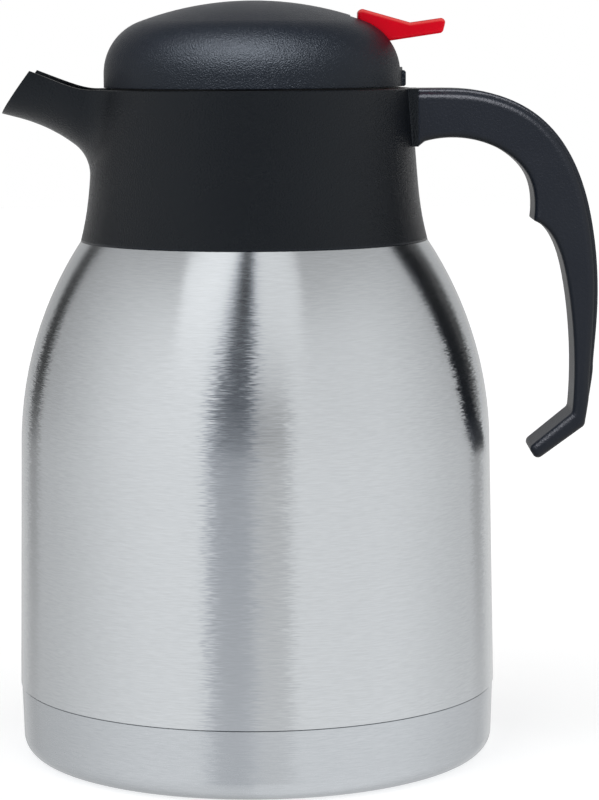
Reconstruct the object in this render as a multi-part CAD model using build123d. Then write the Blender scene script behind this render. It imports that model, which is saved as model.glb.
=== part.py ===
from build123d import *
import os
from math import asin, atan2, cos, degrees, hypot, pi, radians, sin, sqrt, tan

# Thermal carafe: double-walled steel jug, plastic collar with spout and handle, screw-in domed lid
# with a thumb lever that lifts a spring-loaded pour valve.
# Millimetres.  Origin: centre of the underside.  +Z up, +X towards the handle, -X towards the spout.

# ---- fits -------------------------------------------------------------------------------------
push_fit = 0.05          # radial gap of parts pushed together and fixed
running_fit = 0.06       # radial gap of parts that turn or slide
soft_gap = 0.25          # gap between a soft seal and the moving part it meets
run_past = 1.0           # how far a cut runs past the face it opens

# ---- steel vessel -----------------------------------------------------------------------------
steel = 0.6              # sheet thickness
vacuum_gap = 3.5         # between the two walls
wall_radius = 75.4       # wall where the shoulder starts
foot_flare = 1.4         # how much wider the wall is at the seam above the base cup
seam_height = 23.0
shoulder_start = 99.4    # height where the wall starts to curve in
shoulder_arc = 118.9     # radius of the shoulder's curve
bore_radius = 36.0       # inside of the neck
neck_gap = 2.4           # vacuum gap in the neck
neck_rise = 23.16        # from the collar's foot to the mouth
crown_slope = 25.0       # degrees, cone between shoulder and neck
liner_corner = 12.0      # bottom corner of the liner

# ---- base -------------------------------------------------------------------------------------
cup_step = 0.3           # how far the base cup stands back from the wall
cup_taper = 0.5
cup_corner = 6.0
seam_gap = 0.4
skirt_depth = 9.0        # how far the shell reaches down into the cup
pad_radius = 60.0
pad_thickness = 1.8
pad_proud = 0.3
nipple_radius = 9.0      # dimple in the outer bottom that is sealed after pumping
nipple_depth = 3.0
bottom_flange = 4.0
seal_bead_radius = 3.0
seal_bead_height = 1.2
getter_radius = 5.0
getter_height = 2.0
getter_offset = 25.0

# ---- collar -----------------------------------------------------------------------------------
collar_foot_radius = 55.5
collar_draw = 5.5        # how much narrower the collar is at its top
collar_height = 48.26
collar_waist = 17.6      # height above the foot where the flare ends
collar_cone = 0.0803     # radius lost per mm of height above the waist
collar_wall = 2.4
seat_gap = 0.1           # between collar and steel shoulder
crown_inset = 3.2        # from the collar's foot to the end of the shoulder curve
gasket_thickness = 1.6
web_thickness = 2.0
skirt_wall = 2.6         # collar skirt around the neck
skirt_length = 12.0
bowl_corner = 2.0
rim_round = 0.5          # outer edge of the collar's top

# ---- spout ------------------------------------------------------------------------------------
spout_wall = 2.2
spout_side = 1.5         # upright part of the trough's sides, below the rim line
spout_length = 30.0      # tip of the lip outside the collar's top
lip_width = 29.0
lip_below_rim = 7.6      # tip of the lip below the collar's top
lip_length = 16.9        # slanted lip, tip to corner
lip_slant = 36.6         # degrees from upright
lip_runout = 7.6         # how far the trough's cut runs on past the lip
spout_rise = 14.0        # how far the sections run up past the rim before it is cut
spout_blend = 12.0       # rounding between spout and collar
rim_spare = 8.0          # how far collar and spout are drawn above the rim before it is cut

# ---- thread of the lid ------------------------------------------------------------------------
thread_lead = 24.0
thread_starts = 3
thread_depth = 1.7       # how far the collar's ledges stand in
lug_depth = 1.5          # how far the plug's lugs stand out
thread_band = 1.6        # height of a ledge or lug
thread_gap = 0.3         # play between lug and ledge
ledge_span = 50.0        # degrees
lug_span = 16.0
thread_below_rim = 5.0   # middle of the ledges below the collar's top

# ---- handle -----------------------------------------------------------------------------------
handle_width = 22.0
handle_edge = 2.0        # edge rounding
handle_drop = 0.2        # handle top below the collar's top
handle_face = 2.2        # handle root outside the collar's top radius
root_height = 18.2
root_fillet = 2.0
cover_width = 17.0
cover_depth = 3.0        # cover strip below the handle's back
cover_crown = 1.2        # cover strip proud of the handle's back
cover_gap = 0.25         # parting line on each side of the cover
cover_edge = 1.1
tenon_length = 15.0
tenon_width = 13.0
tenon_height = 6.0
tenon_below_top = 11.5   # tenon's middle below the handle's top

# ---- screws -----------------------------------------------------------------------------------
handle_screw_radius = 2.0
handle_screw_head = 3.6
handle_screw_head_height = 2.2
handle_screw_spacing = 7.4
handle_screw_sunk = 0.8  # heads below the cover's seat
lid_screw_radius = 1.5
lid_screw_head = 2.8
lid_screw_head_height = 2.0
lid_screw_length = 20.0
lid_screw_count = 3
post_wall = 2.0

# ---- lid --------------------------------------------------------------------------------------
lid_gap = 0.5            # between collar top and dome rim
dome_setback = 2.5       # side of the dome inside the collar's top edge
dome_height = 27.2
dome_corner = 17.5       # radius of the rounded side
dome_straight = 4.3      # upright part of the side
dome_wall = 2.2
tab_width = 10.0
tab_reach = 0.9
tab_height = 5.0
tab_bevel = 0.5
plug_wall = 2.0
plug_deck_below_rim = 14.4
spigot_rise = 3.6        # drum of the plug inside the dome
plug_play = 1.5          # between the stopper and the neck's bore
chamber_wall = 2.0
window_count = 8
window_width = 16.0
window_height = 5.5
window_sill = 0.9        # above the collar's web
seat_hole_radius = 14.0
seat_thickness = 2.0
seat_below_mouth = 11.0
seal_height = 5.4
seal_slope = 1.08        # height of each slope of the seal's two lips
seal_groove = 1.0        # depth of the seal's groove in the plug
seal_base = 1.4          # seal thickness without its lips
seal_above_seat = 1.0    # groove above the top of the valve's seat
guide_radius = 6.0
guide_rise = 10.0
foam_clearance = 0.4

# ---- pour valve -------------------------------------------------------------------------------
stem_radius = 2.5
disc_radius = 17.5
disc_thickness = 2.8
washer_thickness = 1.1
cap_radius = 6.0
cap_thickness = 2.4
rivet_radius = 5.0       # riveted foot of the stem
rivet_height = 1.1
spring_radius = 7.5
spring_wire = 1.0
spring_turns = 5

# ---- thumb lever ------------------------------------------------------------------------------
lever_width = 18.8
lever_edge = 1.2
lever_corner = 1.4
slot_width = 20.0
slot_ahead = 6.9         # front end of the slot ahead of the pivot
slot_wall = 2.2
slot_floor_drop = 7.2    # slot floor below the pivot
pivot_inset = 9.8        # pivot inside the dome's side
pivot_below_top = 14.0   # pivot below the top of the dome
pin_radius = 1.5
boss_radius = 3.6
arm_width = 11.0
arm_thickness = 3.0
fork_radius = 3.2
fork_drop = 3.3          # fork below the pivot
fork_slot = 6.4          # width of the fork's opening around the stem
fork_play = 1.6          # room in the fork behind the stem
valve_play = 0.15        # between fork and stem cap, and between washer and seat

# ---- heights and radii that follow ------------------------------------------------------------
shoulder_centre = wall_radius - shoulder_arc
foot_radius = wall_radius + foot_flare
collar_top_radius = collar_foot_radius - collar_draw
spout_reach = collar_top_radius + spout_length
dome_radius = collar_top_radius - dome_setback
pivot_offset = dome_radius - pivot_inset
slot_front = pivot_offset - slot_ahead


def shoulder_height(radius, inset=0.0):
    """Height of the shoulder curve, or of one set in from it, at a radius."""
    return shoulder_start + sqrt((shoulder_arc - inset) ** 2 - (radius - shoulder_centre) ** 2)


seat_height = shoulder_height(collar_foot_radius)
crown_radius = collar_foot_radius - crown_inset
crown_angle = asin((shoulder_height(crown_radius) - shoulder_start) / shoulder_arc)
neck_radius = bore_radius + 2 * steel + neck_gap
mouth_height = seat_height + neck_rise
mouth_rim = mouth_height + steel
web_under = mouth_rim + gasket_thickness
web_top = web_under + web_thickness
collar_top = seat_height + collar_height
bowl_radius = collar_top_radius - collar_wall
handle_top = collar_top - handle_drop
handle_root = collar_top_radius + handle_face
dome_rim = collar_top + lid_gap
dome_top = dome_rim + dome_height
drum_radius = dome_radius - dome_wall - push_fit
deck_under = dome_rim - plug_deck_below_rim
deck_top = deck_under + plug_wall
drum_top = dome_rim + spigot_rise
chamber_radius = bore_radius - plug_play
chamber_bore = chamber_radius - chamber_wall
lid_screw_circle = (chamber_radius + drum_radius) / 2
seat_under = mouth_height - seat_below_mouth
seat_top = seat_under + seat_thickness
pivot_height = dome_top - pivot_below_top
fork_height = pivot_height - fork_drop
cap_under = fork_height + fork_radius + valve_play
cap_top = cap_under + cap_thickness
washer_under = seat_top + valve_play
disc_under = washer_under + washer_thickness
disc_top = disc_under + disc_thickness
cup_ring = pad_proud
cup_rim = seam_height - seam_gap
cup_rim_radius = foot_radius - cup_step
cup_foot_radius = cup_rim_radius - cup_taper
skirt_bottom = seam_height - skirt_depth
bottom_plate = skirt_bottom
cup_slope = cup_taper / (cup_rim - cup_ring - cup_corner)
skirt_radius = cup_rim_radius - steel - cup_slope * (cup_rim - skirt_bottom) - push_fit
liner_radius = wall_radius - steel - vacuum_gap
liner_bottom = bottom_plate + steel + vacuum_gap
thread_height = collar_top - thread_below_rim
ledge_radius = bowl_radius - thread_depth
lug_radius = drum_radius + lug_depth


# ---- helpers ----------------------------------------------------------------------------------
def disc(radius, low, high):
    """Upright cylinder on the axis between two heights."""
    return Pos(0, 0, low) * Cylinder(radius, high - low, align=(Align.CENTER, Align.CENTER, Align.MIN))


def ring(outer, inner, low, high):
    return disc(outer, low, high) - disc(inner, low, high)


def block(x_low, x_high, width, z_low, z_high):
    """Box centred across Y."""
    middle = Pos((x_low + x_high) / 2, 0, (z_low + z_high) / 2)
    return middle * Box(x_high - x_low, width, z_high - z_low)


def turned(*edges):
    """Solid of revolution from the edges of a closed outline drawn as (radius, height)."""
    return revolve(Plane.XZ * make_face(edges), Axis.Z)


def slab(*edges, width):
    """Outline in (x, z), thickened evenly to both sides of the middle plane."""
    return extrude(Pos(0, width / 2, 0) * (Plane.XZ * make_face(edges)), width)


def around(shape, count, start=0.0):
    """Copies of a shape, evenly spaced about the axis."""
    return [Rot(0, 0, start + 360 / count * step) * shape for step in range(count)]


def helical_bar(inner, outer, height, middle, span, direction):
    """Short piece of a thread: a ring sector tilted by the thread's lead."""
    tilt = degrees(atan2(thread_lead, pi * (inner + outer)))
    chord = 2 * inner * sin(radians(span / 2))
    plate = Pos((inner + outer) / 2, 0, middle) * Rot(tilt, 0, 0) * Box(4 * (outer - inner), chord, height)
    low = middle - chord
    high = middle + chord
    return Rot(0, 0, direction) * (plate & ring(outer, inner, low, high))


# ---- steel vessel -----------------------------------------------------------------------------
def vessel_form(foot_edges, inset, neck, top):
    """Filled form of one face of a wall: the foot's edges, then shoulder curve, cone and neck.

    The foot's edges run from the axis to the start of the shoulder; inset is how far the face
    lies inside the outer face.
    """
    arc = shoulder_arc - inset
    crown = (shoulder_centre + arc * cos(crown_angle), shoulder_start + arc * sin(crown_angle))
    middle = (shoulder_centre + arc * cos(crown_angle / 2), shoulder_start + arc * sin(crown_angle / 2))
    neck_foot = crown[1] + (crown[0] - neck) * tan(radians(crown_slope))
    return turned(
        *foot_edges,
        ThreePointArc((wall_radius - inset, shoulder_start), middle, crown),
        Polyline(crown, (neck, neck_foot), (neck, top), (0, top), (0, foot_edges[0].position_at(0).Y)),
    )


def shell_form(inset, top):
    """Outer shell, or its inner face when inset by the sheet's thickness."""
    skirt = skirt_radius - inset
    low = skirt_bottom - inset
    step = seam_height + inset
    foot = Polyline((0, low), (skirt, low), (skirt, step), (foot_radius - inset, step),
                    (wall_radius - inset, shoulder_start))
    return vessel_form([foot], inset, neck_radius - inset, top)


def liner_form(thickness, top):
    """Inner liner, or its inner face when inset by the sheet's thickness."""
    radius = liner_radius - thickness
    low = liner_bottom + thickness
    corner = liner_corner - thickness
    corner_low = (radius - corner, low)
    corner_high = (radius, low + corner)
    foot = [
        Line((0, low), corner_low),
        RadiusArc(corner_low, corner_high, -corner),
        Line(corner_high, (radius, shoulder_start)),
    ]
    return vessel_form(foot, wall_radius - radius, bore_radius + steel - thickness, top)


def make_outer_shell():
    return shell_form(0.0, mouth_height) - shell_form(steel, mouth_height + steel)


def make_inner_liner():
    wall = liner_form(0.0, mouth_rim) - liner_form(steel, mouth_rim + steel)
    return wall + ring(neck_radius, bore_radius + steel / 2, mouth_height, mouth_rim)


def thin_wall(form):
    """Sheet-metal cup: the form hollowed from its top."""
    top = form.faces().sort_by(Axis.Z)[-1]
    return offset(form, -steel, openings=[top], kind=Kind.INTERSECTION)


def make_outer_bottom():
    radius = skirt_radius - steel - push_fit
    low = bottom_plate - nipple_depth
    high = bottom_plate + bottom_flange
    form = turned(Polyline((0, low), (nipple_radius, low), (nipple_radius, bottom_plate),
                           (radius, bottom_plate), (radius, high), (0, high), (0, low)))
    return thin_wall(form)


def make_vacuum_seal():
    low = bottom_plate - nipple_depth - seal_bead_height
    return disc(seal_bead_radius, low, low + seal_bead_height)


def make_getter():
    low = bottom_plate + steel
    return Pos(getter_offset, 0, 0) * disc(getter_radius, low, low + getter_height)


def make_base_cup():
    corner_low = (cup_foot_radius - cup_corner, cup_ring)
    corner_high = (cup_foot_radius, cup_ring + cup_corner)
    recess = pad_radius + push_fit
    form = turned(
        Polyline((0, cup_rim), (0, pad_thickness), (recess, pad_thickness), (recess, cup_ring), corner_low),
        RadiusArc(corner_low, corner_high, -cup_corner),
        Polyline(corner_high, (cup_rim_radius, cup_rim), (0, cup_rim)),
    )
    return thin_wall(form)


def make_base_pad():
    return disc(pad_radius, 0, pad_thickness)


def make_neck_gasket():
    return ring(neck_radius, bore_radius + push_fit, mouth_rim, web_under)


# ---- collar and spout -------------------------------------------------------------------------
# Stations of the spout from the lip to the collar: tip (x, z) on its underside, crest (x, z) on its
# rim, and half its width there.  Heights are below the collar's top, distances from the axis.
lip_corner_x = spout_reach - lip_length * sin(radians(lip_slant))
lip_corner_rise = lip_length * cos(radians(lip_slant)) - lip_below_rim
spout_stations = [
    ((spout_reach, lip_below_rim), (lip_corner_x, -lip_corner_rise), lip_width / 2),
    ((spout_reach - 10.7, 10.7), (lip_corner_x - 8.0, -lip_corner_rise + 3.1), lip_width / 2 + 0.8),
    ((collar_top_radius + 10.6, 15.0), (collar_top_radius + 5.6, -0.7), lip_width / 2 + 2.5),
    ((collar_top_radius + 5.0, 19.0), (collar_top_radius + 0.6, 0.0), lip_width / 2 + 3.5),
    ((collar_top_radius - 3.0, 22.0), (collar_top_radius - 10.0, 0.0), lip_width / 2 + 4.5),
]


def spout_section(station, wall=0.0):
    """U that hangs from the rim line and runs up past it; wall sets it in."""
    (tip_x, tip_depth), (crest_x, crest_depth), half_width = station
    crest = Vector(-crest_x, 0, collar_top - crest_depth)
    along = crest - Vector(-tip_x, 0, collar_top - tip_depth)
    plane = Plane(origin=crest, x_dir=(0, 1, 0), z_dir=Vector(0, 1, 0).cross(along))
    side = half_width - wall
    depth = along.length - spout_side - wall
    bowl = EllipticalCenterArc((0, -spout_side), side, depth, start_angle=180, arc_size=180)
    walls = Polyline((side, -spout_side), (side, spout_rise), (-side, spout_rise), (-side, -spout_side))
    return plane * make_face([bowl, walls])


def spout_channel():
    """Space inside the trough, run out past the lip."""
    inner = [spout_section(station, spout_wall) for station in spout_stations]
    ahead = inner[0].center() - inner[1].center()
    mouth = Pos(*(ahead.normalized() * lip_runout)) * inner[0]
    return loft([mouth] + inner)


def above_rim():
    """Space above the collar's top and above the rim line that climbs to the lip."""
    crests = [Vector(-x, collar_top - depth) for _, (x, depth), _ in reversed(spout_stations[:-1])]
    outward = crests[-1] - crests[-2]
    climb = Spline(*crests, tangents=[(-1, 0), outward])
    far = crests[-1] + outward.normalized() * spout_rise
    ceiling = collar_top + 2 * spout_rise
    side = 2 * collar_top_radius
    return slab(
        Line((side, collar_top), crests[0]),
        climb,
        Polyline(crests[-1], far, (far.X, ceiling), (side, ceiling), (side, collar_top)),
        width=2 * side,
    )


def collar_form():
    """Filled outer form of the collar's wall, run up past its top."""
    waist_height = seat_height + collar_waist
    waist_radius = collar_top_radius + collar_cone * (collar_height - collar_waist)
    waist = (waist_radius, waist_height)
    foot = (collar_foot_radius, seat_height)
    top = collar_top + rim_spare
    return turned(
        Line((0, seat_height), foot),
        TangentArc(waist, foot, tangent=(collar_cone, -1)),
        Polyline(waist, (collar_top_radius - collar_cone * rim_spare, top), (0, top), (0, seat_height)),
    )


def collar_hollow():
    """Space under the web, between the outer wall and the skirt around the neck."""
    waist = (collar_top_radius + collar_cone * (collar_height - collar_waist) - collar_wall,
             seat_height + collar_waist)
    foot_radius_inside = collar_foot_radius - collar_wall
    low = seat_height - run_past
    form = turned(Polyline((0, low), (foot_radius_inside, low), waist, (collar_top_radius, web_under),
                           (0, web_under), (0, low)))
    skirt = ring(neck_radius + push_fit + skirt_wall, neck_radius + push_fit,
                 mouth_height - skirt_length, web_under)
    return form - skirt


def collar_bowl():
    """Pouring space above the web, with the neck's bore through it."""
    corner_low = (bowl_radius - bowl_corner, web_top)
    corner_high = (bowl_radius, web_top + bowl_corner)
    top = collar_top + lip_corner_rise
    form = turned(
        Line((0, web_top), corner_low),
        RadiusArc(corner_low, corner_high, -bowl_corner),
        Polyline(corner_high, (bowl_radius, top), (0, top), (0, web_top)),
    )
    return form + disc(bore_radius, web_under - run_past, web_top + run_past)


def handle_boss():
    """Flat pad behind the collar and the tenon that enters the handle."""
    pad = block(0, handle_root, handle_width, handle_top - root_height, handle_top)
    middle = handle_top - tenon_below_top
    tenon = block(0, handle_root + tenon_length, tenon_width, middle - tenon_height / 2,
                  middle + tenon_height / 2)
    return pad + tenon


def handle_screw_places():
    first = handle_root + tenon_length / 2 - handle_screw_spacing / 2
    return [Pos(first, 0, 0), Pos(first + handle_screw_spacing, 0, 0)]


def collar_and_spout():
    """Filled outer form of the collar with its spout, blended together and cut to the rim."""
    wall = collar_form()
    level = collar_top + rim_spare
    spout = loft([spout_section(station) for station in spout_stations])
    spout -= block(-2 * spout_reach, 0, 2 * spout_reach, level, level + 2 * spout_rise)
    form = wall + spout
    form = fillet(new_edges(wall, spout, combined=form), spout_blend)
    form -= above_rim()
    lip = form.faces().filter_by(GeomType.PLANE).sort_by(Axis.X)[0]
    rim = form.faces().filter_by(lambda face: face != lip and face.normal_at().Z > 0.5)
    edges = [edge for face in rim for edge in face.edges()]
    outside = [edge for edge in edges if edges.count(edge) == 1 and edge not in lip.edges()]
    return fillet(outside, rim_round)


def make_collar():
    outer = collar_and_spout() + handle_boss()
    collar = outer - collar_hollow() - collar_bowl() - spout_channel()
    collar -= Pos(0, 0, seat_gap) * shell_form(0.0, web_under - seat_gap)
    rooted = bowl_radius + collar_wall / 2
    ledge = helical_bar(ledge_radius, rooted, thread_band, thread_height, ledge_span, 0)
    for copy in around(ledge, thread_starts):
        collar += copy
    middle = handle_top - tenon_below_top
    for place in handle_screw_places():
        collar -= place * disc(handle_screw_radius + push_fit, middle - tenon_height, middle + tenon_height)
    return collar


# ---- handle -----------------------------------------------------------------------------------
# Side outline as offsets (x, z) from the top of the handle's root.
back_start = (8.0, 0.0)
back_points = [back_start, (22.6, -1.5), (35.3, -6.8), (43.3, -13.8), (51.9, -29.3), (56.6, -52.3),
               (57.2, -66.9), (55.7, -89.8), (53.1, -107.4)]
hook_low = (37.8, -118.5)
hook_high = (35.2, -114.5)
hook_elbow = (49.1, -103.2)
palm_points = [hook_elbow, (49.7, -92.1), (49.2, -76.5), (47.2, -60.9), (44.1, -49.8), (41.9, -45.9),
               (36.5, -41.8)]
finger_points = [(36.5, -41.8), (36.8, -35.6), (34.8, -27.7), (29.8, -21.9), (22.3, -17.6), (12.7, -15.5),
                 (root_fillet, -16.6)]
cover_end = 0.93         # share of the back's curve that the cover runs along
back_fade = 0.2          # last share of the back, where the body rises to the cover's crown
heel_round = 2.0
hook_round = 1.8
notch_round = 0.8


def handle_point(point):
    return (handle_root + point[0], handle_top + point[1])


def back_curve():
    return Spline(*[handle_point(point) for point in back_points],
                  tangents=[(1, 0), (-0.17, -1)])


def back_inset(depth, end=cover_end, fade=0.0, steps=12):
    """Curve that follows the back at a depth, which fades out over the last share of its length."""
    curve = back_curve()
    points = []
    for step in range(steps + 1):
        share = end * step / steps
        forward = (curve % share).normalized()
        inward = Vector(forward.Y, -forward.X)
        points.append(curve @ share + inward * depth * (min(1, (1 - share) / fade) if fade else 1))
    return Spline(*points, tangents=[curve % 0, curve % end])


def make_handle():
    back = back_inset(cover_crown, 1.0, back_fade)
    root_low = (handle_root, handle_top - root_height)
    palm = Spline(*[handle_point(point) for point in palm_points])
    finger = Spline(*[handle_point(point) for point in finger_points])
    body = slab(
        Polyline(root_low, (handle_root, (back @ 0).Y), back @ 0),
        back,
        Polyline(back @ 1, handle_point(hook_low), handle_point(hook_high), handle_point(hook_elbow)),
        palm,
        finger,
        Line(finger @ 1, root_low),
        width=handle_width,
    )
    roundings = [
        (back @ 1, heel_round),
        (handle_point(hook_low), hook_round),
        (handle_point(hook_high), hook_round),
        (palm @ 0, heel_round),
        (palm @ 1, notch_round),
        (finger @ 1, root_fillet),
    ]
    for point, radius in roundings:
        body = fillet(edge_across(body, point), radius)
    root_face = body.faces().sort_by(Axis.X)[0]
    side_edges = [edge for edge in body.edges().filter_by(Axis.Y, reverse=True)
                  if edge not in root_face.edges()]
    body = fillet(side_edges, handle_edge)
    channel = slab(*cover_outline(push_fit, cover_crown), width=cover_width + 2 * cover_gap)
    return body - channel - handle_pocket()


def in_side_view(point):
    """Place in space of a point of the side outline."""
    flat = Vector(point)
    return (flat.X, 0, flat.Y)


def edge_across(body, point):
    """Edge of the body that runs across Y through a point of the side outline."""
    return body.edges().filter_by(Axis.Y).sort_by_distance(in_side_view(point))[0]


def cover_outline(spare=0.0, above=0.0):
    """Cover strip seen from the side; spare sets its underside deeper, above carries it past the back."""
    depth = cover_crown + cover_depth + spare
    upper = back_inset(-above)
    lower = back_inset(depth)
    start = handle_root + push_fit - spare
    return [
        upper,
        Line(upper @ 1, lower @ 1),
        lower,
        Polyline(lower @ 0, (start, (lower @ 0).Y), (start, (upper @ 0).Y), upper @ 0),
    ]


def handle_pocket():
    """Space for the tenon and for the two screws that hold it."""
    middle = handle_top - tenon_below_top
    channel_floor = handle_top - cover_crown - cover_depth - push_fit
    screw_recess = handle_screw_sunk + handle_screw_head_height
    pocket = block(handle_root - push_fit, handle_root + tenon_length + push_fit, tenon_width + 2 * push_fit,
                   middle - tenon_height / 2 - push_fit, middle + tenon_height / 2 + push_fit)
    for place in handle_screw_places():
        pocket += place * disc(handle_screw_radius + push_fit, middle, channel_floor)
        pocket += place * disc(handle_screw_head + push_fit, channel_floor - screw_recess,
                               channel_floor + run_past)
    return pocket


def make_handle_cover():
    strip = slab(*cover_outline(), width=cover_width)
    middle = Vector(*in_side_view(back_curve() @ 0.5))
    back_face = strip.faces().filter_by(GeomType.EXTRUSION).sort_by_distance(middle)[0]
    top_face = strip.faces().filter_by(Plane.XY).sort_by(Axis.Z)[-1]
    crown_edges = [edge for face in (back_face, top_face)
                   for edge in face.edges().filter_by(Axis.Y, reverse=True)]
    return fillet(crown_edges, cover_edge)


def make_handle_screws():
    head_top = handle_top - cover_crown - cover_depth - push_fit - handle_screw_sunk
    head_low = head_top - handle_screw_head_height
    tip = handle_top - tenon_below_top - tenon_height / 2 + push_fit
    screw = disc(handle_screw_head, head_low, head_top) + disc(handle_screw_radius, tip, head_low)
    return Compound([place * screw for place in handle_screw_places()])


# ---- lid --------------------------------------------------------------------------------------
def dome_form(inset=0.0):
    """Filled outer form of the dome, or its inner face when inset by the wall."""
    radius = dome_radius - inset
    corner = dome_corner - inset
    top = dome_top - inset
    corner_x = radius - corner
    corner_z = dome_rim + dome_straight
    rise = top - corner_z
    crown = (corner_x ** 2 + rise ** 2 - corner ** 2) / (2 * (rise - corner))
    crown_z = top - crown
    angle = atan2(corner_z - crown_z, corner_x)
    blend = (crown * cos(angle), crown_z + crown * sin(angle))
    corner_middle = (corner_x + corner * cos(angle / 2), corner_z + corner * sin(angle / 2))
    crown_middle_angle = (angle + pi / 2) / 2
    crown_middle = (crown * cos(crown_middle_angle), crown_z + crown * sin(crown_middle_angle))
    low = dome_rim - inset
    return turned(
        Polyline((0, top), (0, low), (radius, low), (radius, corner_z)),
        ThreePointArc((radius, corner_z), corner_middle, blend),
        ThreePointArc(blend, crown_middle, (0, top)),
    )


def lid_screw_posts(radius, low, high):
    first = 180 / lid_screw_count
    return around(Pos(lid_screw_circle, 0, 0) * disc(radius, low, high), lid_screw_count, first)


def pin_bar(radius, length):
    """Round bar across the slot at the lever's pivot."""
    return Pos(pivot_offset, 0, pivot_height) * Rot(90, 0, 0) * Cylinder(radius, length)


def rear_tab():
    tab = block(dome_radius - dome_wall, dome_radius + tab_reach, tab_width, dome_rim, dome_rim + tab_height)
    return chamfer(tab.edges().filter_by(Axis.Y).sort_by(Axis.X)[-2:], tab_bevel)


def make_lid_dome():
    outer = dome_form()
    slot_floor = pivot_height - slot_floor_drop
    slot = block(slot_front, dome_radius + tab_reach, slot_width, slot_floor, dome_top)
    cheeks = outer & block(slot_front, dome_radius, slot_width + 2 * slot_wall, slot_floor - slot_wall,
                           dome_top)
    dome = outer - dome_form(dome_wall) + cheeks + rear_tab()
    for post in lid_screw_posts(lid_screw_radius + post_wall, drum_top, dome_top):
        dome += post & dome_form(dome_wall / 2)
    dome -= slot
    dome -= pin_bar(pin_radius + push_fit, slot_width + 2 * slot_wall)
    screw_tip = deck_under + lid_screw_head_height + lid_screw_length
    for hole in lid_screw_posts(lid_screw_radius + push_fit, drum_top, screw_tip + push_fit):
        dome -= hole
    return dome


def seal_groove_heights():
    low = seat_top + seal_above_seat
    return low, low + seal_height + 2 * soft_gap


def make_lid_plug():
    plug = disc(drum_radius, deck_under, drum_top) - disc(drum_radius - plug_wall, deck_top, drum_top)
    plug += ring(chamber_radius, chamber_bore, seat_under, deck_under)
    plug += ring(chamber_radius, seat_hole_radius, seat_under, seat_top)
    plug += disc(guide_radius, deck_under, deck_top + guide_rise)
    for pillar in lid_screw_posts(lid_screw_radius + post_wall, deck_under, drum_top):
        plug += pillar & disc(drum_radius, deck_under, drum_top)
    plug -= disc(stem_radius + running_fit, seat_under, deck_top + guide_rise)
    head_top = deck_under + lid_screw_head_height
    for hole in lid_screw_posts(lid_screw_radius + push_fit, deck_under, drum_top):
        plug -= hole
    for recess in lid_screw_posts(lid_screw_head + push_fit, deck_under, head_top + push_fit):
        plug -= recess
    sill = web_top + window_sill
    window = block(chamber_bore - chamber_wall, chamber_radius + chamber_wall, window_width, sill,
                   sill + window_height)
    for copy in around(window, window_count):
        plug -= copy
    groove_low, groove_high = seal_groove_heights()
    plug -= ring(chamber_radius + chamber_wall, chamber_radius - seal_groove, groove_low, groove_high)
    lug_height = thread_height - thread_band - thread_gap
    lug = helical_bar(drum_radius - plug_wall / 2, lug_radius, thread_band, lug_height, lug_span, 0)
    for copy in around(lug, thread_starts):
        plug += copy
    return plug


def make_plug_insulation():
    foam = ring(drum_radius - plug_wall - foam_clearance, guide_radius + foam_clearance, deck_top,
                drum_top - plug_wall)
    for hole in lid_screw_posts(lid_screw_radius + post_wall + foam_clearance, deck_top, drum_top):
        foam -= hole
    return foam


def make_lid_screws():
    head_top = deck_under + lid_screw_head_height
    heads = lid_screw_posts(lid_screw_head, deck_under, head_top)
    shanks = lid_screw_posts(lid_screw_radius, head_top, head_top + lid_screw_length)
    return Compound([head + shank for head, shank in zip(heads, shanks)])


def make_lever_pin():
    return pin_bar(pin_radius, slot_width + 2 * slot_wall - 2 * push_fit)


def make_neck_seal():
    """Lip seal in the plug's groove; two lips reach towards the neck's bore."""
    groove_low, groove_high = seal_groove_heights()
    low = groove_low + soft_gap
    high = groove_high - soft_gap
    inner = chamber_radius - seal_groove + soft_gap
    base = inner + seal_base
    lip = bore_radius - soft_gap
    return turned(Polyline((inner, low), (base, low), (lip, low + seal_slope), (base, low + 2 * seal_slope),
                           (base, high - 2 * seal_slope), (lip, high - seal_slope), (base, high),
                           (inner, high), (inner, low)))


# ---- pour valve -------------------------------------------------------------------------------
def make_valve_stem():
    foot = disc(rivet_radius, washer_under - rivet_height, washer_under)
    return foot + disc(stem_radius, washer_under, cap_top)


def make_valve_disc():
    return ring(disc_radius, stem_radius + push_fit, disc_under, disc_top)


def make_valve_seal():
    return ring(disc_radius - washer_thickness / 2, stem_radius + push_fit, washer_under, disc_under)


def make_stem_cap():
    return ring(cap_radius, stem_radius + push_fit, cap_under, cap_top)


def make_valve_spring():
    low = disc_top + spring_wire / 2
    high = deck_under - spring_wire / 2
    path = Helix(pitch=(high - low) / spring_turns, height=high - low, radius=spring_radius)
    section = Plane(origin=path @ 0, z_dir=path % 0) * Circle(spring_wire / 2)
    return Pos(0, 0, low) * sweep(section, path=path, is_frenet=True)


# ---- thumb lever ------------------------------------------------------------------------------
# Side outline of the thumb plate as offsets (x, z) from the pivot, with the rounding of each corner.
lever_front = (-4.5, 11.5)
lever_kink = (11.9, 6.8)
lever_tail_top = (23.4, 8.4)
lever_tail_low = (22.2, 3.5)
lever_belly = (3.0, 0.7)
lever_root = (-4.5, 1.0)


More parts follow.
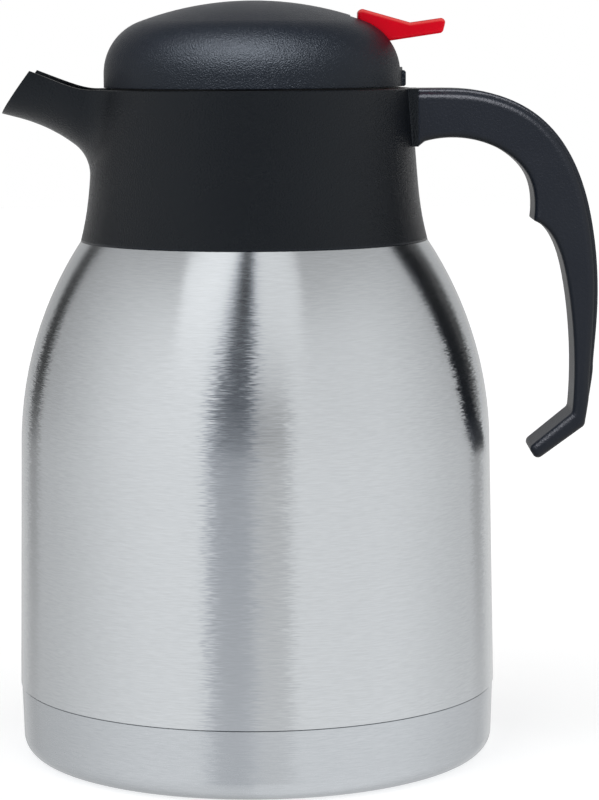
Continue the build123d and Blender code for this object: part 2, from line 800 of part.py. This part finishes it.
def make_thumb_lever():
    corners = [lever_root, lever_front, lever_kink, lever_tail_top, lever_tail_low, lever_belly]
    pivot = Vector(pivot_offset, pivot_height)
    plate = slab(Polyline(*[pivot + Vector(corner) for corner in corners], close=True), width=lever_width)
    rounded = [edge_across(plate, pivot + Vector(corner))
               for corner in (lever_front, lever_tail_top, lever_tail_low)]
    plate = fillet(rounded, lever_corner)
    plate = fillet(plate.faces().filter_by(Plane.XZ).edges(), lever_edge)
    boss = pin_bar(boss_radius, lever_width)
    fork = Vector(0, fork_height)
    arm = Pos(pivot_offset / 2, 0, (pivot_height + fork_height) / 2)
    arm *= Rot(0, -degrees(atan2(fork_drop, pivot_offset)), 0)
    bar = arm * Box(hypot(pivot_offset, fork_drop), arm_width, arm_thickness)
    nose = Pos(fork.X, 0, fork.Y) * Rot(90, 0, 0) * Cylinder(fork_radius, arm_width)
    lever = plate + boss + bar + nose
    lever -= block(-2 * fork_radius, stem_radius + fork_play, fork_slot, fork_height - 2 * fork_radius,
                   fork_height + 2 * fork_radius)
    return lever - pin_bar(pin_radius + running_fit, lever_width + 2 * lever_edge)


# ---- write the pieces -------------------------------------------------------------------------
pieces = {
    "outer_shell": make_outer_shell,
    "inner_liner": make_inner_liner,
    "outer_bottom": make_outer_bottom,
    "vacuum_seal": make_vacuum_seal,
    "getter": make_getter,
    "base_cup": make_base_cup,
    "base_pad": make_base_pad,
    "neck_gasket": make_neck_gasket,
    "collar": make_collar,
    "handle": make_handle,
    "handle_cover": make_handle_cover,
    "handle_screws": make_handle_screws,
    "neck_seal": make_neck_seal,
    "lid_dome": make_lid_dome,
    "lid_plug": make_lid_plug,
    "plug_insulation": make_plug_insulation,
    "lid_screws": make_lid_screws,
    "lever_pin": make_lever_pin,
    "thumb_lever": make_thumb_lever,
    "valve_stem": make_valve_stem,
    "valve_disc": make_valve_disc,
    "valve_seal": make_valve_seal,
    "stem_cap": make_stem_cap,
    "valve_spring": make_valve_spring,
}

os.makedirs("parts", exist_ok=True)
for node, make in pieces.items():
    export_step(make(), f"parts/{node}.step")
litres = liner_form(steel, mouth_rim).volume / 1e6
print(f"{len(pieces)} pieces, {litres:.2f} litres to the mouth, {dome_top:.1f} mm tall")
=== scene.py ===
# %% [markdown]
# # A thermal carafe, dressed for its picture
# The carafe is a double-walled steel jug with a black plastic collar, a spout, an open handle, a domed
# stopper lid and a red thumb lever.  Its solids are already exact, so the work here is the surface: what
# each piece is made of, how it was formed and how it has been handled.  Everything is in metres.

# %% Start from the solid parts
import math
import bpy
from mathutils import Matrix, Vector

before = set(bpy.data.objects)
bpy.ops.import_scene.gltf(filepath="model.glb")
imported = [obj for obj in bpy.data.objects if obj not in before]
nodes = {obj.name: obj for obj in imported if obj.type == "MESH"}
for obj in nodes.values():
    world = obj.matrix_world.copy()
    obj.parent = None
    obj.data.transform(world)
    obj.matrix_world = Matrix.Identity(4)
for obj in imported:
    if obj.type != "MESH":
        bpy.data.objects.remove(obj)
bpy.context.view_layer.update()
scene = bpy.context.scene

# %% [markdown]
# ## The camera
# A product picture is taken from far away with a long lens, so that the jug's sides stay parallel.  The
# camera stands at the height of the lid and looks slightly down.  A real camera on a tripod is never quite
# level, and a third of a degree of roll is what makes the jug lean a little.

# %% Camera
camera_distance = 0.915
camera_height = 0.2290
camera_side = 0.0142
aim_height = 0.1134
lens_mm = 128.6
roll_degrees = -0.3


def place_camera():
    data = bpy.data.cameras.new("camera")
    data.lens = lens_mm
    data.sensor_width = 36
    camera = bpy.data.objects.new("camera", data)
    camera.location = (camera_side, -camera_distance, camera_height)
    aim = Vector((camera_side, 0, aim_height)) - camera.location
    camera.rotation_euler = aim.to_track_quat("-Z", "Y").to_euler()
    camera.rotation_euler.rotate_axis("Z", math.radians(roll_degrees))
    scene.collection.objects.link(camera)
    return camera


scene.camera = place_camera()
print("camera looks down", round(math.degrees(math.atan2(camera_height - aim_height, camera_distance)), 2))

# %% [markdown]
# ## Small helpers for node trees
# Materials in Blender are graphs.  Three short functions keep the recipes readable: one adds a node and
# sets its values, one joins two sockets and one does arithmetic on numbers or sockets.

# %% Node helpers


def add(tree, kind, values=None, **settings):
    node = tree.nodes.new(kind)
    for name, value in settings.items():
        setattr(node, name, value)
    for name, value in (values or {}).items():
        set_or_link(tree, value, node.inputs[name])
    return node


def set_or_link(tree, value, socket):
    if isinstance(value, bpy.types.NodeSocket):
        tree.links.new(value, socket)
    else:
        socket.default_value = value


def maths(tree, operation, first, second=0.0, third=0.0):
    node = tree.nodes.new("ShaderNodeMath")
    node.operation = operation
    for value, socket in zip((first, second, third), node.inputs):
        set_or_link(tree, value, socket)
    return node.outputs[0]


def ramp(tree, value, low, high, to_low=0.0, to_high=1.0):
    """Smooth step of a value from one range to another."""
    node = add(tree, "ShaderNodeMapRange", {"Value": value, "From Min": low, "From Max": high,
                                            "To Min": to_low, "To Max": to_high})
    node.interpolation_type = "SMOOTHSTEP"
    return node.outputs["Result"]


def group(name, inputs, outputs):
    """Empty node group with named inputs {name: default} and outputs {name: socket type}."""
    tree = bpy.data.node_groups.new(name, "ShaderNodeTree")
    for label, default in inputs.items():
        socket = tree.interface.new_socket(label, in_out="INPUT", socket_type="NodeSocketFloat")
        socket.default_value = default
    for label, kind in outputs.items():
        tree.interface.new_socket(label, in_out="OUTPUT", socket_type=kind)
    return tree, tree.nodes.new("NodeGroupInput"), tree.nodes.new("NodeGroupOutput")


print("helpers ready")

# %% [markdown]
# ## The studio
# Brushed steel shows little of itself and much of the room.  The jug stands on a white table in a white
# room.  The side of the room where the camera stands is dark, and that is the dark band down the middle of
# the jug.  Two soft lights hang over the camera, one on each side of the dark gap, so the band gets narrow
# towards the shoulder, which looks up between them.  The corners of the room give the dark lines at the
# jug's edges, and the table hides the foot of all of this.  The room is painted in the world's shader by
# compass direction and height: that is quicker and cleaner than building walls.

# %% Directions in the room, in degrees seen from the jug
gap_left_low = -23.0     # the dark gap's left edge at table height
gap_left_high = -14.0    # and high up, between the lights
gap_right = 0.0          # its right edge
gap_depth = (0.88, 1.0)  # how much light is missing in it, low down and high up
gap_colour = (0.84, 0.93, 1.10)  # what light is left in it is bluish
gap_edge = 4.0           # how softly the gap and the lights end
light_edge = 3.0
table_edge = (-14.5, -9.0, 5.0)  # where the table starts to hide the gap, hides half of it, leaves it free
side_gap_right = 17.0    # a paler part beside it, low down
side_gap_depth = 0.60
corner_angle = 138.0     # the room's corners behind the lights
corner_depth = 0.90
left_wall = 1.06         # brightness beside the camera
right_wall = 0.92
left_end = (0.68, 0.48)  # and far behind the jug, at the table and above it
right_end = (0.76, 0.55)
ceiling = 0.58
left_light_edge = (-44.0, -60.0)   # the lights' outer edges, at their foot and at their top
right_light_edge = (27.0, 39.0)
left_light = 1.20
right_light = 1.10


def both(tree, first, second):
    return maths(tree, "MULTIPLY", first, second)


def without(tree, value, depth):
    """A value with a part of it taken away."""
    return maths(tree, "MULTIPLY", value, maths(tree, "SUBTRACT", 1.0, depth))


def blend(tree, factor, low, high):
    return add(tree, "ShaderNodeMix", {"Factor": factor, "A": low, "B": high}).outputs[0]


def compass(tree):
    """Azimuth from the camera's side and elevation, both in degrees."""
    place = add(tree, "ShaderNodeTexCoord")
    parts = add(tree, "ShaderNodeSeparateXYZ", {"Vector": place.outputs["Generated"]})
    x, y, z = parts.outputs
    per_radian = 57.2958
    azimuth = maths(tree, "MULTIPLY", maths(tree, "ARCTAN2", x, maths(tree, "MULTIPLY", y, -1.0)), per_radian)
    return azimuth, maths(tree, "MULTIPLY", maths(tree, "ARCSINE", z), per_radian)


print("lights over the camera from", left_light_edge[1], "to", right_light_edge[1], "degrees")

# %% Walls, ceiling and lights


def paint_walls(tree, azimuth, height):
    side = ramp(tree, azimuth, -8.0, 0.0)
    left = both(tree, left_wall, ramp(tree, height, -22.0, -6.0, 0.86, 1.0))
    left = blend(tree, ramp(tree, azimuth, -140.0, -40.0), ramp(tree, height, -12.0, 2.0, *left_end), left)
    right = both(tree, right_wall, ramp(tree, height, -12.0, -4.0, 1.10, 1.0))
    right = blend(tree, ramp(tree, azimuth, 60.0, 140.0), right, ramp(tree, height, -12.0, 2.0, *right_end))
    above = ramp(tree, height, 28.0, 56.0, 1.0, ceiling)
    from_left = maths(tree, "SUBTRACT", azimuth, ramp(tree, height, 30.0, 60.0, *left_light_edge))
    from_right = maths(tree, "SUBTRACT", azimuth, ramp(tree, height, 30.0, 60.0, *right_light_edge))
    lamp = both(tree, ramp(tree, from_left, -light_edge, light_edge),
                ramp(tree, from_right, -light_edge, light_edge, 1.0, 0.0))
    level = blend(tree, side, ramp(tree, height, 15.0, 45.0, 1.0, left_light),
                  ramp(tree, height, 15.0, 45.0, 1.0, right_light))
    return both(tree, blend(tree, side, left, right), blend(tree, lamp, above, level))


def paint_gaps(tree, azimuth, height):
    edge = ramp(tree, height, -5.0, 58.0, gap_left_low, gap_left_high)
    inside = both(tree, ramp(tree, maths(tree, "SUBTRACT", azimuth, edge), -4.0, 5.0),
                  ramp(tree, azimuth, gap_right - gap_edge, gap_right + gap_edge, 1.0, 0.0))
    foot, middle, top = table_edge
    over_table = both(tree, ramp(tree, height, foot, middle, 0.1, 1.0),
                      ramp(tree, height, middle, top, 0.52, 1.0))
    main = both(tree, both(tree, inside, over_table), ramp(tree, height, 20.0, 50.0, *gap_depth))
    beside = both(tree, ramp(tree, azimuth, gap_right - gap_edge, gap_right + gap_edge),
                  ramp(tree, azimuth, side_gap_right - light_edge, side_gap_right + light_edge, 1.0, 0.0))
    low = both(tree, ramp(tree, height, 8.0, 24.0, side_gap_depth, 0.0), over_table)
    turned = maths(tree, "ABSOLUTE", azimuth)
    corner = maths(tree, "ABSOLUTE", maths(tree, "SUBTRACT", turned, corner_angle))
    corners = both(tree, ramp(tree, corner, 3.0, 11.0, corner_depth, 0.0),
                   ramp(tree, height, -12.0, -1.0, 0.05, 1.0))
    return main, both(tree, beside, low), corners


def paint_room():
    world = bpy.data.worlds.new("studio")
    scene.world = world
    world.use_nodes = True
    tree = world.node_tree
    tree.nodes.clear()
    azimuth, height = compass(tree)
    bright = paint_walls(tree, azimuth, height)
    gap, beside, corners = paint_gaps(tree, azimuth, height)
    for depth in (gap, beside, corners):
        bright = without(tree, bright, depth)
    seen = add(tree, "ShaderNodeLightPath").outputs["Is Camera Ray"]
    bluish = add(tree, "ShaderNodeMix", {"Factor": without(tree, gap, seen)}, data_type="RGBA")
    bluish.inputs[6].default_value = (1, 1, 1, 1)
    bluish.inputs[7].default_value = (*gap_colour, 1)
    room = add(tree, "ShaderNodeBackground", {"Color": bluish.outputs[2],
                                              "Strength": blend(tree, seen, bright, 1.0)})
    add(tree, "ShaderNodeOutputWorld", {"Surface": room.outputs[0]})


paint_room()
scene.view_settings.view_transform = "Standard"
print("room painted")

# %% [markdown]
# The table is matt white and glows a little, so that it is as white as the room behind it and only a faint
# shadow shows where the jug stands.  It is hidden from the steel's reflections, which the room already has.
# The lights over the camera are painted, and the grained plastic needs a real one of the same size.

# %% Table and soft light
table_front = -1.1
table_back = 3.0
table_side = 2.2
table_glow = 0.52
light_place = (-0.16, -0.87, 1.28)
light_size = (1.75, 0.78)
light_watts = 64.0
light_aim = (0, 0, 0.12)


def white_table():
    mesh = bpy.data.meshes.new("table")
    corners = [(-table_side, table_front, 0), (table_side, table_front, 0),
               (table_side, table_back, 0), (-table_side, table_back, 0)]
    mesh.from_pydata(corners, [], [(0, 1, 2, 3)])
    table = bpy.data.objects.new("table", mesh)
    scene.collection.objects.link(table)
    material = bpy.data.materials.new("table_white")
    material.use_nodes = True
    shader = material.node_tree.nodes["Principled BSDF"]
    shader.inputs["Base Color"].default_value = (0.93, 0.93, 0.93, 1)
    shader.inputs["Roughness"].default_value = 0.9
    shader.inputs["Specular IOR Level"].default_value = 0.1
    shader.inputs["Emission Color"].default_value = (1, 1, 1, 1)
    shader.inputs["Emission Strength"].default_value = table_glow
    mesh.materials.append(material)
    table.visible_glossy = False


def soft_light(name, place, size, power):
    data = bpy.data.lights.new(name, "AREA")
    data.shape = "RECTANGLE"
    data.size, data.size_y = size
    data.energy = power
    light = bpy.data.objects.new(name, data)
    light.location = place
    light.rotation_euler = (Vector(light_aim) - light.location).to_track_quat("-Z", "Y").to_euler()
    scene.collection.objects.link(light)
    return light


white_table()
front_light = soft_light("front light", light_place, light_size, light_watts)
front_light.data.color = (0.91, 0.92, 1.0)
print("table and light placed")

# %% [markdown]
# ## Effects shared by several finishes
# An effect that more than one material needs is a node group.  Each gives only masks, values and normals
# that change over the surface; the shader itself stays in the material.

# %% Group: soft edge


def make_soft_edge():
    """Rounds the shading of sharp edges and tells where they are."""
    tree, given, result = group("soft edge", {"Radius": 0.0004},
                                {"Normal": "NodeSocketVector", "Edge": "NodeSocketFloat"})
    bevel = add(tree, "ShaderNodeBevel", {"Radius": given.outputs["Radius"]}, samples=4)
    flat = add(tree, "ShaderNodeNewGeometry").outputs["Normal"]
    dot = add(tree, "ShaderNodeVectorMath", operation="DOT_PRODUCT")
    tree.links.new(bevel.outputs[0], dot.inputs[0])
    tree.links.new(flat, dot.inputs[1])
    tree.links.new(bevel.outputs[0], result.inputs["Normal"])
    tree.links.new(ramp(tree, dot.outputs["Value"], 0.995, 0.86), result.inputs["Edge"])
    return tree


soft_edge = make_soft_edge()
print("group:", soft_edge.name)

# %% [markdown]
# Moulded plastic copies its mould.  Spark erosion leaves the steel mould with fine round pits, so the
# plastic has a fine pebbled grain.  Two sizes of noise give it, with the finer one on the larger.

# %% Group: moulded grain


def make_grain():
    tree, given, result = group("moulded grain", {"Grain Size": 0.0006},
                                {"Height": "NodeSocketFloat", "Tone": "NodeSocketFloat"})
    place = add(tree, "ShaderNodeTexCoord").outputs["Object"]
    scale = maths(tree, "DIVIDE", 1.0, given.outputs["Grain Size"])
    pits = add(tree, "ShaderNodeTexVoronoi", {"Vector": place, "Scale": scale}, feature="SMOOTH_F1")
    fine = add(tree, "ShaderNodeTexNoise", {"Vector": place, "Scale": maths(tree, "MULTIPLY", scale, 1.7),
                                            "Detail": 2.0})
    height = maths(tree, "ADD", maths(tree, "MULTIPLY", pits.outputs["Distance"], 0.7),
                   maths(tree, "MULTIPLY", fine.outputs[0], 0.6))
    tree.links.new(height, result.inputs["Height"])
    cloud = add(tree, "ShaderNodeTexNoise", {"Vector": place, "Scale": 45.0, "Detail": 3.0})
    tree.links.new(cloud.outputs[0], result.inputs["Tone"])
    return tree


moulded_grain = make_grain()
print("group:", moulded_grain.name)

# %% [markdown]
# Brushed steel is scratched by a belt while the jug turns, so every scratch runs round the body.  Noise that
# is stretched round the body and squeezed in height gives such lines.  Each line also tips the surface a
# little to one side, which frays the edges of the reflections; that is done on the normal directly.

# %% Group: turned brushing


def make_brushing():
    tree, given, result = group("turned brushing", {"Line Height": 0.0005, "Line Length": 0.02, "Fray": 0.05},
                                {"Lines": "NodeSocketFloat", "Normal": "NodeSocketVector"})
    place = add(tree, "ShaderNodeTexCoord").outputs["Object"]
    across = maths(tree, "DIVIDE", 1.0, given.outputs["Line Length"])
    up = maths(tree, "DIVIDE", 1.0, given.outputs["Line Height"])
    stretch = add(tree, "ShaderNodeCombineXYZ", {"X": across, "Y": across, "Z": up})
    squeezed = add(tree, "ShaderNodeVectorMath", operation="MULTIPLY")
    tree.links.new(place, squeezed.inputs[0])
    tree.links.new(stretch.outputs[0], squeezed.inputs[1])
    lines = add(tree, "ShaderNodeTexNoise", {"Vector": squeezed.outputs[0], "Scale": 1.0, "Detail": 3.0,
                                             "Roughness": 0.65})
    tree.links.new(lines.outputs[0], result.inputs["Lines"])
    shifted = add(tree, "ShaderNodeVectorMath", operation="ADD")
    shifted.inputs[1].default_value = (7.3, 2.9, 31.0)   # any shift: the tips must not follow the lines
    tree.links.new(squeezed.outputs[0], shifted.inputs[0])
    tips = add(tree, "ShaderNodeTexNoise", {"Vector": shifted.outputs[0], "Scale": 1.4, "Detail": 4.0})
    tip = maths(tree, "MULTIPLY", maths(tree, "SUBTRACT", tips.outputs[0], 0.5), given.outputs["Fray"])
    normal = add(tree, "ShaderNodeNewGeometry").outputs["Normal"]
    round_way = add(tree, "ShaderNodeVectorMath", operation="CROSS_PRODUCT")
    round_way.inputs[0].default_value = (0, 0, 1)
    tree.links.new(normal, round_way.inputs[1])
    push = add(tree, "ShaderNodeVectorMath", {"Scale": tip}, operation="SCALE")
    tree.links.new(round_way.outputs[0], push.inputs[0])
    tipped = add(tree, "ShaderNodeVectorMath", operation="ADD")
    tree.links.new(normal, tipped.inputs[0])
    tree.links.new(push.outputs[0], tipped.inputs[1])
    unit = add(tree, "ShaderNodeVectorMath", operation="NORMALIZE")
    tree.links.new(tipped.outputs[0], unit.inputs[0])
    tree.links.new(unit.outputs[0], result.inputs["Normal"])
    return tree


turned_brushing = make_brushing()
print("group:", turned_brushing.name)

# %% [markdown]
# Nothing that is handled stays even.  Wide soft clouds, with a few sharper wiped patches in them, change the
# gloss a little from place to place.

# %% Group: handling


def make_handling():
    tree, given, result = group("handling", {"Patch Size": 0.03}, {"Wiped": "NodeSocketFloat"})
    place = add(tree, "ShaderNodeTexCoord").outputs["Object"]
    scale = maths(tree, "DIVIDE", 1.0, given.outputs["Patch Size"])
    cloud = add(tree, "ShaderNodeTexNoise", {"Vector": place, "Scale": scale, "Detail": 4.0,
                                             "Distortion": 0.6})
    tree.links.new(ramp(tree, cloud.outputs[0], 0.35, 0.7), result.inputs["Wiped"])
    return tree


handling = make_handling()
print("group:", handling.name)

# %% [markdown]
# ## The steel
# The wall and the base cup are polished with a belt and then wiped.  Steel is a metal, so its colour is the
# colour of its reflection, a slightly cool grey.  The scratches spread a reflection up and down but hardly
# sideways: anisotropy does that, with the tangent running round the axis and turned by a quarter.

# %% Material helpers


def new_material(name):
    material = bpy.data.materials.new(name)
    material.use_nodes = True
    tree = material.node_tree
    return material, tree, tree.nodes["Principled BSDF"]


def place_group(tree, which, **values):
    node = tree.nodes.new("ShaderNodeGroup")
    node.node_tree = which
    for name, value in values.items():
        set_or_link(tree, value, node.inputs[name.replace("_", " ")])
    return node


def tint(tree, factor, low, high):
    """Colour between two colours."""
    mix = tree.nodes.new("ShaderNodeMix")
    mix.data_type = "RGBA"
    set_or_link(tree, factor, mix.inputs["Factor"])
    mix.inputs[6].default_value = (*low, 1)
    mix.inputs[7].default_value = (*high, 1)
    return mix.outputs[2]


print("material helpers ready")

# %% Brushed steel
line_height = 0.00030
line_length = 0.0045
fray_from, fray_to = 0.128, 0.156   # heights between which the brushing gets calmer towards the collar
calm = 0.25


def brushed_steel(name, dull, bright, gloss, fray):
    material, tree, shader = new_material(name)
    place = add(tree, "ShaderNodeTexCoord").outputs["Object"]
    height = add(tree, "ShaderNodeSeparateXYZ", {"Vector": place}).outputs["Z"]
    brushing = place_group(tree, turned_brushing, Line_Height=line_height, Line_Length=line_length,
                           Fray=ramp(tree, height, fray_from, fray_to, fray, fray * calm))
    wiped = place_group(tree, handling, Patch_Size=0.05)
    shader.inputs["Metallic"].default_value = 1.0
    shader.inputs["Anisotropic"].default_value = 0.92
    shader.inputs["Anisotropic Rotation"].default_value = 0.25
    tree.links.new(tint(tree, ramp(tree, brushing.outputs["Lines"], 0.15, 0.85), dull, bright),
                   shader.inputs["Base Color"])
    rough = maths(tree, "ADD", maths(tree, "MULTIPLY", brushing.outputs["Lines"], 0.12), gloss)
    rough = maths(tree, "ADD", rough, maths(tree, "MULTIPLY", wiped.outputs["Wiped"], -0.03))
    tree.links.new(rough, shader.inputs["Roughness"])
    bump = add(tree, "ShaderNodeBump", {"Strength": 0.05, "Distance": 0.00002,
                                        "Height": brushing.outputs["Lines"],
                                        "Normal": brushing.outputs["Normal"]})
    tree.links.new(bump.outputs[0], shader.inputs["Normal"])
    way = add(tree, "ShaderNodeTangent", direction_type="RADIAL", axis="Z")
    tree.links.new(way.outputs[0], shader.inputs["Tangent"])
    return material


wall_steel = brushed_steel("steel_wall", (0.565, 0.588, 0.608), (0.655, 0.681, 0.704), 0.165, 0.22)
base_steel = brushed_steel("steel_base", (0.52, 0.545, 0.572), (0.605, 0.633, 0.662), 0.20, 0.16)
print("steel:", wall_steel.name, base_steel.name)

# %% [markdown]
# Inside, the steel is plain rolled sheet: duller, without belt lines, and a little darker and warmer in wiped
# patches.

# %% Rolled steel and fixings


def rolled_steel(name, colour, darker, rough_low, rough_high):
    material, tree, shader = new_material(name)
    wiped = place_group(tree, handling, Patch_Size=0.02)
    edge = place_group(tree, soft_edge, Radius=0.0003)
    shader.inputs["Metallic"].default_value = 1.0
    tree.links.new(tint(tree, wiped.outputs["Wiped"], colour, darker), shader.inputs["Base Color"])
    tree.links.new(ramp(tree, wiped.outputs["Wiped"], 0.0, 1.0, rough_low, rough_high),
                   shader.inputs["Roughness"])
    tree.links.new(edge.outputs["Normal"], shader.inputs["Normal"])
    return material


inside_steel = rolled_steel("steel_inside", (0.62, 0.62, 0.61), (0.50, 0.49, 0.47), 0.26, 0.38)
fixing_steel = rolled_steel("fixing_steel", (0.72, 0.72, 0.72), (0.60, 0.60, 0.59), 0.14, 0.24)
print("steel:", inside_steel.name, fixing_steel.name)

# %% [markdown]
# ## The black plastic
# Collar, lid and handle are polypropylene, coloured through.  The grain is coarser on the handle, where the
# hand needs grip, and edges are a little smoother because the grain is polished off there; the paler colour
# on the edges is a painted edge highlight.  The sheen on collar and lid is a little cool.

# %% Black plastic


def black_plastic(name, colour, grain, depth, rough, edge_radius=0.0004, sheen=(1.0, 1.0, 1.0)):
    material, tree, shader = new_material(name)
    pebble = place_group(tree, moulded_grain, Grain_Size=grain)
    wiped = place_group(tree, handling, Patch_Size=0.03)
    edge = place_group(tree, soft_edge, Radius=edge_radius)
    # edges get a paler colour: a painted edge highlight (their lower roughness is the worn grain)
    paler = tuple(min(1.0, channel * 2.2 + 0.004) for channel in colour)
    deeper = tuple(channel * 0.8 for channel in colour)
    body = add(tree, "ShaderNodeMix", data_type="RGBA")
    tree.links.new(edge.outputs["Edge"], body.inputs["Factor"])
    tree.links.new(tint(tree, pebble.outputs["Tone"], deeper, colour), body.inputs[6])
    body.inputs[7].default_value = (*paler, 1)
    tree.links.new(body.outputs[2], shader.inputs["Base Color"])
    worn = maths(tree, "ADD", maths(tree, "MULTIPLY", wiped.outputs["Wiped"], -0.05), rough)
    worn = maths(tree, "SUBTRACT", worn, maths(tree, "MULTIPLY", edge.outputs["Edge"], 0.12))
    tree.links.new(worn, shader.inputs["Roughness"])
    bump = add(tree, "ShaderNodeBump", {"Strength": depth, "Distance": 0.0002,
                                        "Height": pebble.outputs["Height"],
                                        "Normal": edge.outputs["Normal"]})
    tree.links.new(bump.outputs[0], shader.inputs["Normal"])
    shader.inputs["Specular IOR Level"].default_value = 0.28
    shader.inputs["Specular Tint"].default_value = (*sheen, 1)
    return material


deep_black = (0.0010, 0.0022, 0.0050)
collar_black = black_plastic("collar_plastic", deep_black, 0.0005, 1.20, 0.31, 0.0006, (0.88, 0.95, 1.0))
lid_black = black_plastic("lid_plastic", deep_black, 0.00045, 0.95, 0.36, 0.0004, (0.88, 0.96, 1.0))
handle_black = black_plastic("handle_plastic", (0.002, 0.0036, 0.0068), 0.0007, 0.50, 0.40, 0.0009)
cover_black = black_plastic("cover_plastic", (0.003, 0.0045, 0.0075), 0.0006, 0.40, 0.36, 0.0006)
plug_black = black_plastic("plug_plastic", (0.012, 0.0125, 0.0135), 0.0005, 0.12, 0.40)
pad_black = black_plastic("pad_rubber", (0.012, 0.012, 0.012), 0.0012, 0.40, 0.75)
print("black finishes: 6")

# %% [markdown]
# ## The red lever
# The lever is moulded from a red plastic in a polished mould and is smooth.  A lighter red is painted on its
# rounded upper rim, where it faces up: a painted highlight.

# %% Red and pale finishes


def smooth_plastic(name, colour, darker, rough, shine=0.5, coat=0.0, depth=0.0):
    material, tree, shader = new_material(name)
    wiped = place_group(tree, handling, Patch_Size=0.012)
    edge = place_group(tree, soft_edge, Radius=0.0004)
    tree.links.new(tint(tree, wiped.outputs["Wiped"], colour, darker), shader.inputs["Base Color"])
    tree.links.new(ramp(tree, wiped.outputs["Wiped"], 0.0, 1.0, rough, rough + 0.08),
                   shader.inputs["Roughness"])
    tree.links.new(edge.outputs["Normal"], shader.inputs["Normal"])
    shader.inputs["Coat Weight"].default_value = coat
    shader.inputs["Subsurface Weight"].default_value = depth
    shader.inputs["Subsurface Radius"].default_value = (0.002, 0.001, 0.001)
    shader.inputs["Specular IOR Level"].default_value = shine
    return material


def red_with_painted_rim_highlight(name, body, rim_highlight_colour):
    """Smooth plastic with a painted highlight: a lighter colour on its rounded upper rim, where it faces up.
    """
    material = smooth_plastic(name, body, tuple(0.9 * part for part in body), 0.24, shine=0.07, coat=0.04)
    tree = material.node_tree
    shader = tree.nodes["Principled BSDF"]
    plain = shader.inputs["Base Color"].links[0].from_socket
    rounded = place_group(tree, soft_edge, Radius=0.0009)
    upward = add(tree, "ShaderNodeSeparateXYZ", {"Vector": rounded.outputs["Normal"]}).outputs["Z"]
    # the rounded rim whose normal faces upward gets the painted highlight colour
    painted_rim_mask = both(tree, ramp(tree, upward, 0.12, 0.5), ramp(tree, upward, 0.82, 0.93, 1.0, 0.0))
    mixed = add(tree, "ShaderNodeMix", {"Factor": painted_rim_mask}, data_type="RGBA")
    tree.links.new(plain, mixed.inputs[6])
    mixed.inputs[7].default_value = (*rim_highlight_colour, 1)
    tree.links.new(mixed.outputs[2], shader.inputs["Base Color"])
    return material


# the second colour is the painted rim highlight
lever_red = red_with_painted_rim_highlight("lever_red", (0.80, 0.002, 0.016), (0.97, 0.11, 0.10))
silicone = smooth_plastic("silicone", (0.72, 0.72, 0.70), (0.66, 0.66, 0.64), 0.42, depth=0.3)
foam = smooth_plastic("foam", (0.86, 0.85, 0.80), (0.80, 0.79, 0.73), 0.85)
print("smooth finishes: 3")

# %% [markdown]
# ## Dress the parts
# Every part gets the finish of its real material.

# %% Finish of each part
finishes = {
    "outer_shell": wall_steel, "base_cup": base_steel,
    "inner_liner": inside_steel, "outer_bottom": inside_steel, "vacuum_seal": fixing_steel,
    "getter": inside_steel, "base_pad": pad_black, "neck_gasket": silicone,
    "collar": collar_black, "handle": handle_black, "handle_cover": cover_black,
    "handle_screws": fixing_steel, "neck_seal": silicone, "lid_dome": lid_black,
    "lid_plug": plug_black, "plug_insulation": foam, "lid_screws": fixing_steel,
    "lever_pin": fixing_steel, "thumb_lever": lever_red, "valve_stem": fixing_steel,
    "valve_disc": plug_black, "valve_seal": silicone, "stem_cap": plug_black,
    "valve_spring": fixing_steel,
}


def dress(part, material):
    part.data.materials.clear()
    part.data.materials.append(material)


for name, material in finishes.items():
    dress(nodes[name], material)
print("dressed", len(finishes), "of", len(nodes), "parts")

# %% [markdown]
# The painted room already holds what the steel mirrors.  The real light is for the lid and the handle alone,
# so it is linked to them: a grained black surface needs far more light than a mirror does.

# %% Light for the plastics


def falls_on(light, names):
    lit = bpy.data.collections.new("lit by the " + light.name)
    for name in names:
        lit.objects.link(nodes[name])
    light.light_linking.receiver_collection = lit
    print(light.name, "falls on", ", ".join(names))


falls_on(front_light, ["lid_dome", "handle", "handle_cover"])
